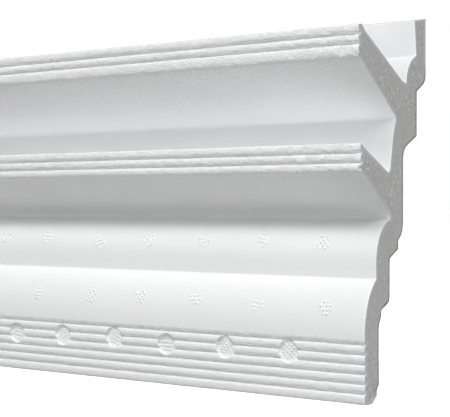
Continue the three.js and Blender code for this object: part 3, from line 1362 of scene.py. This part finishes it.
@dataclass(frozen=True)
class VentMarks:
    """The pips that steam vents left on the waves and the band, in millimetres."""

    rows: tuple[VentRow, ...]
    pip_pitch: float = 1.58
    pip_width: float = 1.0
    pip_parts: int = 2
    pips_across: int = 6
    kept_share: float = 0.94
    least_size: float = 0.8
    most_size: float = 1.15
    ray_start: float = 60.0
    ray_length: float = 1000.0
    seed: int = 5

    def tree(self) -> Tree:
        """Builds the tree that lays a grid of pips on the front at every mark.

        Returns:
            The tree.
        """
        tree = Tree("lay_pips")
        body, skin = tree.size("Body", "Object"), tree.size("Skin", "Material")
        pitch, width = tree.size("Pip Pitch"), tree.size("Pip Width")
        start, seed = tree.size("Ray Start"), tree.size("Seed", "Int")
        turn = tree.node("ShaderNodeCombineXYZ", {"Y": tree.attribute("turn")}).outputs[0]
        place = tree.node("GeometryNodeInputPosition").outputs[0]
        spots = self.laid_grids(tree, pitch, seed, turn, place)
        spots = self.dropped(tree, spots, body, start, place)
        tree.close(self.set_pips(tree, spots, width, seed, turn), skin)
        return tree

    def laid_grids(self, tree: Tree, pitch: Any, seed: Any, turn: Any, place: Any) -> bpy.types.NodeSocket:
        """Lays an upright round grid of spots at every mark.

        Args:
            tree: The tree to add to.
            pitch: The spacing of the pips.
            seed: The seed for the pips that are missing.
            turn: How each mark is turned.
            place: The place of each point.

        Returns:
            The spots.
        """
        span = tree.product(pitch, float(self.pips_across - 1))
        grid = tree.node(
            "GeometryNodeMeshGrid",
            {
                "Size X": span,
                "Size Y": span,
                "Vertices X": self.pips_across,
                "Vertices Y": self.pips_across,
            },
        ).outputs[0]
        upright = tree.node(
            "GeometryNodeTransform", {"Geometry": grid, "Rotation": (math.pi / 2, 0.0, 0.0)}
        ).outputs[0]
        marks = tree.stored(tree.start.outputs["Geometry"], "centre", place)
        laid = tree.node(
            "GeometryNodeInstanceOnPoints", {"Points": marks, "Instance": upright, "Rotation": turn}
        ).outputs[0]
        spots = tree.node("GeometryNodeRealizeInstances", {"Geometry": laid}).outputs[0]
        from_centre = tree.vector("SUBTRACT", place, tree.attribute("centre", "FLOAT_VECTOR"))
        away = tree.node("ShaderNodeVectorMath", {0: from_centre}, operation="LENGTH").outputs["Value"]
        inside = tree.math("LESS_THAN", away, tree.attribute("reach"))
        chance = tree.node(
            "FunctionNodeRandomValue", {"Probability": self.kept_share, "Seed": seed}, data_type="BOOLEAN"
        ).outputs["Value"]
        missing = tree.node("FunctionNodeBooleanMath", {0: inside, 1: chance}, operation="NAND").outputs[0]
        return tree.node("GeometryNodeDeleteGeometry", {"Geometry": spots, "Selection": missing}).outputs[0]

    def dropped(self, tree: Tree, spots: Any, body: Any, start: Any, place: Any) -> bpy.types.NodeSocket:
        """Drops the spots back on to the front.

        Args:
            tree: The tree to add to.
            spots: The spots.
            body: The moulding.
            start: How far out of the wall the spots set off.
            place: The place of each point.

        Returns:
            The spots on the front, each with the lean of the skin there.
        """
        front = tree.node("GeometryNodeObjectInfo", {"Object": body}).outputs["Geometry"]
        outward = tree.node("ShaderNodeCombineXYZ", {"Y": tree.product(start, -1.0)}).outputs[0]
        source = tree.vector("ADD", tree.vector("MULTIPLY", place, (1.0, 0.0, 1.0)), outward)
        hit = tree.node(
            "GeometryNodeRaycast",
            {
                "Target Geometry": front,
                "Source Position": source,
                "Ray Direction": (0.0, 1.0, 0.0),
                "Ray Length": self.ray_length * MM,
            },
        )
        spots = tree.stored(spots, "lean", hit.outputs["Hit Normal"])
        spots = tree.node(
            "GeometryNodeSetPosition", {"Geometry": spots, "Position": hit.outputs["Hit Position"]}
        ).outputs[0]
        return tree.node("GeometryNodeMeshToPoints", {"Mesh": spots}).outputs[0]

    def set_pips(self, tree: Tree, spots: Any, width: Any, seed: Any, turn: Any) -> bpy.types.NodeSocket:
        """Sets a pip on every spot.

        Args:
            tree: The tree to add to.
            spots: The spots on the front.
            width: The width of a pip.
            seed: The seed for the pips' sizes.
            turn: How each mark is turned.

        Returns:
            The pips.
        """
        turned = tree.node("FunctionNodeEulerToRotation", {0: turn}).outputs[0]
        aligned = tree.node(
            "FunctionNodeAlignRotationToVector",
            {"Rotation": turned, "Vector": tree.attribute("lean", "FLOAT_VECTOR")},
            axis="Z",
        ).outputs[0]
        sizes = tree.node(
            "FunctionNodeRandomValue",
            {2: self.least_size, 3: self.most_size, "Seed": seed},
            data_type="FLOAT",
        ).outputs[1]
        half_width = tree.product(width, 0.5, sizes)
        size = tree.node(
            "ShaderNodeCombineXYZ",
            {
                "X": tree.product(half_width, tree.attribute("stretch")),
                "Y": half_width,
                "Z": tree.product(tree.attribute("height"), sizes),
            },
        ).outputs[0]
        pip = tree.node("GeometryNodeMeshIcoSphere", {"Radius": 1.0, "Subdivisions": self.pip_parts})
        return tree.node(
            "GeometryNodeInstanceOnPoints",
            {"Points": spots, "Instance": pip.outputs[0], "Rotation": aligned, "Scale": size},
        ).outputs[0]

    def build(
        self, body: bpy.types.Object, skin: bpy.types.Material, half_length: float
    ) -> bpy.types.Object:
        """Builds every pip.

        Args:
            body: The moulding that the pips stand on.
            skin: The skin's material.
            half_length: Half the moulding's length.

        Returns:
            The pips as one object.
        """
        marks = [(row, mark) for row in self.rows for mark in row.marks]
        places = [((half_length - mark.from_end) * MM, 0.0, mark.up * MM) for _, mark in marks]
        centres = drawn_object("vent_marks", places, [], [])
        columns = {
            "turn": [math.radians(mark.turn_deg) for _, mark in marks],
            "reach": [row.spread / 2 * MM for row, _ in marks],
            "stretch": [mark.pattern.value for _, mark in marks],
            "height": [row.pip_height * MM for row, _ in marks],
        }
        write_columns(centres.data, columns)
        values = {
            "Body": body,
            "Skin": skin,
            "Pip Pitch": self.pip_pitch * MM,
            "Pip Width": self.pip_width * MM,
            "Ray Start": self.ray_start * MM,
            "Seed": self.seed,
        }
        return self.tree().grow(centres, values, "vent_pips")


@dataclass(frozen=True)
class VentDiscs:
    """The round beds that the vents of the band were set in, in millimetres."""

    diameter: float = 9.3
    draft: float = 0.12
    sides: int = 44

    def build(
        self, marks: tuple[Mark, ...], depth: float, face_out: float, half_length: float
    ) -> bpy.types.Object:
        """Builds a plug for every bed.

        Args:
            marks: The marks of the band.
            depth: How deep the beds are.
            face_out: How far out the band's face stands.
            half_length: Half the moulding's length.

        Returns:
            The plugs as one object.
        """
        shape = bmesh.new()
        for mark in marks:
            place = ((half_length - mark.from_end) * MM, -face_out * MM, mark.up * MM)
            bmesh.ops.create_cone(
                shape,
                cap_ends=True,
                segments=self.sides,
                radius1=(self.diameter / 2 + self.draft) * MM,
                radius2=(self.diameter / 2 - self.draft) * MM,
                depth=2 * depth * MM,
                matrix=Matrix.Translation(place) @ Matrix.Rotation(-math.pi / 2, 4, "X"),
            )
        bmesh.ops.recalc_face_normals(shape, faces=shape.faces)
        return shaped_object("vent_beds", shape)


@dataclass(frozen=True)
class Chip:
    """A small piece broken out of the sawn edge, in millimetres."""

    from_end: float
    out: float
    up: float
    size: float
    unevenness: float = 0.35
    lump_share: float = 0.4
    parts: int = 3

    def build(self, half_length: float) -> bpy.types.Object:
        """Builds the broken-out lump at the right end.

        Args:
            half_length: Half the moulding's length.

        Returns:
            The lump.
        """
        shape = bmesh.new()
        bmesh.ops.create_icosphere(shape, subdivisions=self.parts, radius=self.size / 2 * MM)
        for vert in shape.verts:
            vert.co *= 1 + self.unevenness * noise.noise(vert.co / (self.lump_share * self.size * MM))
            vert.co += Vector((half_length - self.from_end, -self.out, self.up)) * MM
        for face in shape.faces:
            face.material_index = Face.SAWN.value
        lump = shaped_object("chip", shape)
        count = len(lump.data.vertices)
        write_columns(lump.data, {"skin_gap": [self.size] * count, "front": [1.0] * count})
        return lump


@dataclass(frozen=True)
class FoamLength:
    """The whole length of moulding: swept skin, sawn ends, vent marks, in millimetres."""

    section: Section = Section()
    length: float = 250.0
    station_gap: float = 1.3
    arris_width: float = 0.3
    relief: Relief = Relief()
    saw_cut: SawCut = SawCut()
    discs: VentDiscs = VentDiscs()
    skin: FoamSkin = FoamSkin()
    sawn: SawnFoam = SawnFoam()
    crease_deg: float = 42.0
    upper_wave_row: VentRow = VentRow(
        marks=(
            Mark(24.9, -78.42, 45, Pattern.DASHES),
            Mark(54.0, -77.97, 98, Pattern.DASHES),
            Mark(84.6, -78.3, 80, Pattern.DASHES),
            Mark(115.3, -78.88, 60, Pattern.DASHES),
            Mark(143.9, -80.07, 75, Pattern.DASHES),
            Mark(177.5, -78.49, 92, Pattern.DASHES),
            Mark(204.5, -78.38, 50, Pattern.DASHES),
            Mark(234.0, -78.7, 86, Pattern.DASHES),
        ),
        spread=6.2,
        pip_height=0.4,
    )
    lower_wave_row: VentRow = VentRow(
        marks=(
            Mark(18.5, -103.28, 88, Pattern.DASHES),
            Mark(50.9, -103.26, 94, Pattern.DASHES),
            Mark(83.2, -101.98, 84, Pattern.DASHES),
            Mark(113.5, -102.75, 45, Pattern.DASHES),
            Mark(142.4, -103.4, 52, Pattern.DASHES),
            Mark(175.2, -103.67, 90, Pattern.DASHES),
            Mark(206.5, -103.2, 80, Pattern.DASHES),
            Mark(236.6, -103.0, 48, Pattern.DASHES),
        ),
        spread=6.2,
        pip_height=0.4,
    )
    band_row: VentRow = VentRow(
        marks=(
            Mark(35.2, -121.0, 38),
            Mark(66.6, -121.3, 50),
            Mark(97.8, -122.05, 0, Pattern.BARS),
            Mark(127.5, -120.9, 20),
            Mark(158.6, -121.65, 65),
            Mark(188.1, -122.45, 10),
            Mark(218.8, -121.45, 42),
        ),
        spread=8.2,
        pip_height=0.26,
    )
    chips: tuple[Chip, ...] = (
        Chip(from_end=0.3, out=46.9, up=-134.9, size=2.6),
        Chip(from_end=0.1, out=50.3, up=-8.3, size=1.4),
        Chip(from_end=0.2, out=48.7, up=-50.2, size=1.6),
        Chip(from_end=0.1, out=38.4, up=-87.9, size=1.2),
    )

    def build(self) -> bpy.types.Object:
        """Builds the moulding as one closed piece.

        Returns:
            The moulding.
        """
        outline, band_top = self.section.draw()
        finishes = (self.skin.build(), self.sawn.build())
        half = self.length / 2
        rail = self.rail(half)
        piece = self.relief.tree().grow(
            self.profile(outline), self.relief.values(half, rail, finishes[0]), "moulding_front"
        )
        bpy.data.objects.remove(rail)
        LOG.info("swept skin: %d points, band top %.2f out, %.2f up", len(piece.data.vertices), *band_top)
        piece.data.materials.clear()
        self.dress(piece, finishes)
        self.saw(piece)
        self.mark_vents(piece, finishes, band_top[0], half)
        for chip in self.chips:
            lump = chip.build(half)
            self.dress(lump, finishes)
            boolean(piece, lump, "DIFFERENCE")
        while piece.data.materials[-1] is None:
            piece.data.materials.pop()
        self.smooth(piece)
        return piece

    def dress(self, piece: bpy.types.Object, finishes: tuple[bpy.types.Material, ...]) -> None:
        """Gives a piece the finishes, in the order of the kinds of face."""
        for material in finishes:
            piece.data.materials.append(material)

    def profile(self, outline: Outline) -> bpy.types.Object:
        """Makes the section as a closed line with its zones written on its points.

        Args:
            outline: The section's outline.

        Returns:
            The line.
        """
        points = outline.points
        count = len(points)
        line = drawn_object(
            "section_line",
            [(out * MM, -up * MM, 0.0) for out, up, _ in points],
            [(index, (index + 1) % count) for index in range(count)],
            [],
        )
        columns = {
            "grain": [zone.grain * self.section.grain_share(zone, out) for out, _, zone in points],
            "crumble": [zone.crumble for _, _, zone in points],
            # Each zone's share of painted light or shade, read by the skin's material.
            "tint": [zone.tint for _, _, zone in points],
            "back": [float(zone is Zone.BACK) for _, _, zone in points],
        }
        write_columns(line.data, columns)
        return line

    def rail(self, half: float) -> bpy.types.Object:
        """Makes the line that the section is swept along, with its stations.

        Args:
            half: Half the moulding's length.

        Returns:
            The line.
        """
        inner = half - self.arris_width
        count = round(2 * inner / self.station_gap)
        places = [-half, *(-inner + 2 * inner * step / count for step in range(count + 1)), half]
        edges = [(index, index + 1) for index in range(len(places) - 1)]
        return drawn_object("rail_line", [(place * MM, 0.0, 0.0) for place in places], edges, [])

    def saw(self, piece: bpy.types.Object) -> None:
        """Closes both ends with sawn faces.

        Args:
            piece: The swept skin.
        """
        mesh = bmesh.new()
        mesh.from_mesh(piece.data)
        for name in ("skin_gap", "front"):
            mesh.verts.layers.float.new(name)
        mesh.verts.index_update()
        for face in mesh.faces:
            face.smooth = True
        for side in (1, -1):
            self.saw_cut.close(mesh, side)
        bmesh.ops.triangulate(mesh, faces=[face for face in mesh.faces if len(face.verts) > 3])
        mesh.to_mesh(piece.data)
        mesh.free()

    def mark_vents(
        self,
        piece: bpy.types.Object,
        finishes: tuple[bpy.types.Material, ...],
        face_out: float,
        half: float,
    ) -> None:
        """Sinks the round beds into the band and sets the pips of every vent.

        Args:
            piece: The closed moulding.
            finishes: The skin and the sawn foam.
            face_out: How far out the band's face stands.
            half: Half the moulding's length.
        """
        beds = self.discs.build(self.band_row.marks, self.section.reeds.groove_depth, face_out, half)
        self.dress(beds, finishes[:1])
        boolean(piece, beds, "DIFFERENCE")
        vents = VentMarks((self.upper_wave_row, self.lower_wave_row, self.band_row))
        pips = vents.build(piece, finishes[0], half)
        LOG.info("vent pips: %d faces", len(pips.data.polygons))
        boolean(piece, pips, "UNION")

    def smooth(self, piece: bpy.types.Object) -> None:
        """Sets smooth shading with creases at the sharp edges.

        Args:
            piece: The moulding.
        """
        mesh = piece.data
        mesh.polygons.foreach_set("use_smooth", [True] * len(mesh.polygons))
        mesh.set_sharp_from_angle(angle=math.radians(self.crease_deg))
        mesh.update()


@dataclass(frozen=True)
class PhotoCamera:
    """The camera, placed as the photograph was taken."""

    place: tuple[float, float, float] = (0.39364, -0.47468, -0.06465)
    turn_deg: float = 38.0
    focal_px: float = 1344.0
    horizon_px: float = 207.0
    sensor: float = 36.0
    nearest: float = 0.01
    farthest: float = 20.0

    def build(self) -> None:
        """Adds the camera and makes it the scene's own."""
        lens = bpy.data.cameras.new("photo_camera")
        lens.sensor_width = self.sensor
        lens.lens = self.focal_px / IMAGE_WIDTH * self.sensor
        lens.shift_y = (self.horizon_px - IMAGE_HEIGHT / 2) / IMAGE_WIDTH
        lens.clip_start = self.nearest
        lens.clip_end = self.farthest
        camera = bpy.data.objects.new("photo_camera", lens)
        bpy.context.scene.collection.objects.link(camera)
        camera.location = self.place
        camera.rotation_euler = (math.pi / 2, 0.0, math.radians(self.turn_deg))
        bpy.context.scene.camera = camera


@dataclass(frozen=True)
class SoftPanel:
    """A soft round light panel that faces the moulding, in metres, degrees and watts."""

    name: str
    azimuth_deg: float
    elevation_deg: float
    power: float
    size: float = 0.9
    distance: float = 1.6

    def build(self, target: Vector) -> None:
        """Hangs the panel round a target and turns it to face it.

        Args:
            target: The target.
        """
        light = bpy.data.lights.new(self.name, "AREA")
        light.shape = "DISK"
        light.size = self.size
        light.energy = self.power
        azimuth, elevation = math.radians(self.azimuth_deg), math.radians(self.elevation_deg)
        away = Vector(
            (
                math.sin(azimuth) * math.cos(elevation),
                -math.cos(azimuth) * math.cos(elevation),
                math.sin(elevation),
            )
        )
        panel = bpy.data.objects.new(self.name, light)
        bpy.context.scene.collection.objects.link(panel)
        panel.location = target + away * self.distance
        panel.rotation_euler = away.to_track_quat("Z", "Y").to_euler()
        panel.visible_glossy = False


@dataclass(frozen=True)
class Studio:
    """The white ground, the plain pale floor and the soft lights."""

    panels: tuple[SoftPanel, ...] = (
        SoftPanel("panel_key", 2.0, 60.0, 14.0, 0.5),
        SoftPanel("panel_key_right", 34.0, 48.0, 7.4, 0.5),
        SoftPanel("panel_front", 4.0, -1.0, 7.5),
        SoftPanel("panel_end", 90.0, -12.0, 7.0),
        SoftPanel("panel_low_left", -60.0, -60.0, 2.4),
        SoftPanel("panel_low_right", 60.0, -30.0, 2.4),
        SoftPanel("panel_above", 0.0, 88.0, 1.0),
        SoftPanel("panel_left", -90.0, -10.0, 3.0),
        SoftPanel("panel_behind", 180.0, -5.0, 11.0),
    )
    white: tuple[float, float, float, float] = (1.0, 1.0, 1.0, 1.0)
    ambient: float = 0.02
    floor_color: tuple[float, float, float, float] = (0.95, 0.95, 0.95, 1.0)
    floor_roughness: float = 0.9
    floor_glow: float = 0.97
    floor_size: float = 40.0

    def build(self, box_low: Vector, box_high: Vector) -> None:
        """Builds the ground, the floor and the lights round the moulding.

        Args:
            box_low: The lowest corner of the moulding's box.
            box_high: The highest corner.
        """
        self.build_world()
        self.build_floor(box_low.z)
        for panel in self.panels:
            panel.build((box_low + box_high) / 2)
        view = bpy.context.scene.view_settings
        view.view_transform = "Standard"
        view.look = "None"

    def build_world(self) -> None:
        """Makes the world white to the camera and a weaker even light to the moulding."""
        world = bpy.data.worlds.new("studio")
        bpy.context.scene.world = world
        world.use_nodes = True
        bench = Bench(world.node_tree)
        ground = world.node_tree.nodes["Background"]
        seen = bench.node("ShaderNodeLightPath").outputs["Is Camera Ray"]
        bench.feed(ground.inputs["Color"], self.white)
        bench.feed(ground.inputs["Strength"], bench.spread(seen, Span(0.0, 1.0, self.ambient, 1.0)))

    def build_floor(self, height: float) -> None:
        """Lays the floor under the moulding.

        Args:
            height: The floor's height.
        """
        half = self.floor_size / 2
        corners = [(x, y, height) for x, y in ((-half, -half), (half, -half), (half, half), (-half, half))]
        floor = drawn_object("studio_floor", corners, [], [(0, 1, 2, 3)])
        inputs = {
            "Base Color": self.floor_color,
            "Roughness": self.floor_roughness,
            "Emission Color": self.white,
            "Emission Strength": self.floor_glow,
        }
        floor.data.materials.append(Finish("pale_floor").done(inputs))
        floor.visible_shadow = False
        floor.visible_diffuse = False
        floor.visible_glossy = False


def main() -> None:
    """Builds the camera, the moulding and the studio in order."""
    logging.basicConfig(level=logging.INFO, format="%(name)s: %(message)s")
    PhotoCamera().build()
    piece = FoamLength().build()
    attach(piece, "root")
    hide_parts(NODE)
    LOG.info("%s: %d faces", piece.name, len(piece.data.polygons))
    low, high = (Vector(corner) for corner in CAD_BOX)
    Studio().build(low, high)


if __name__ == "__main__":
    main()
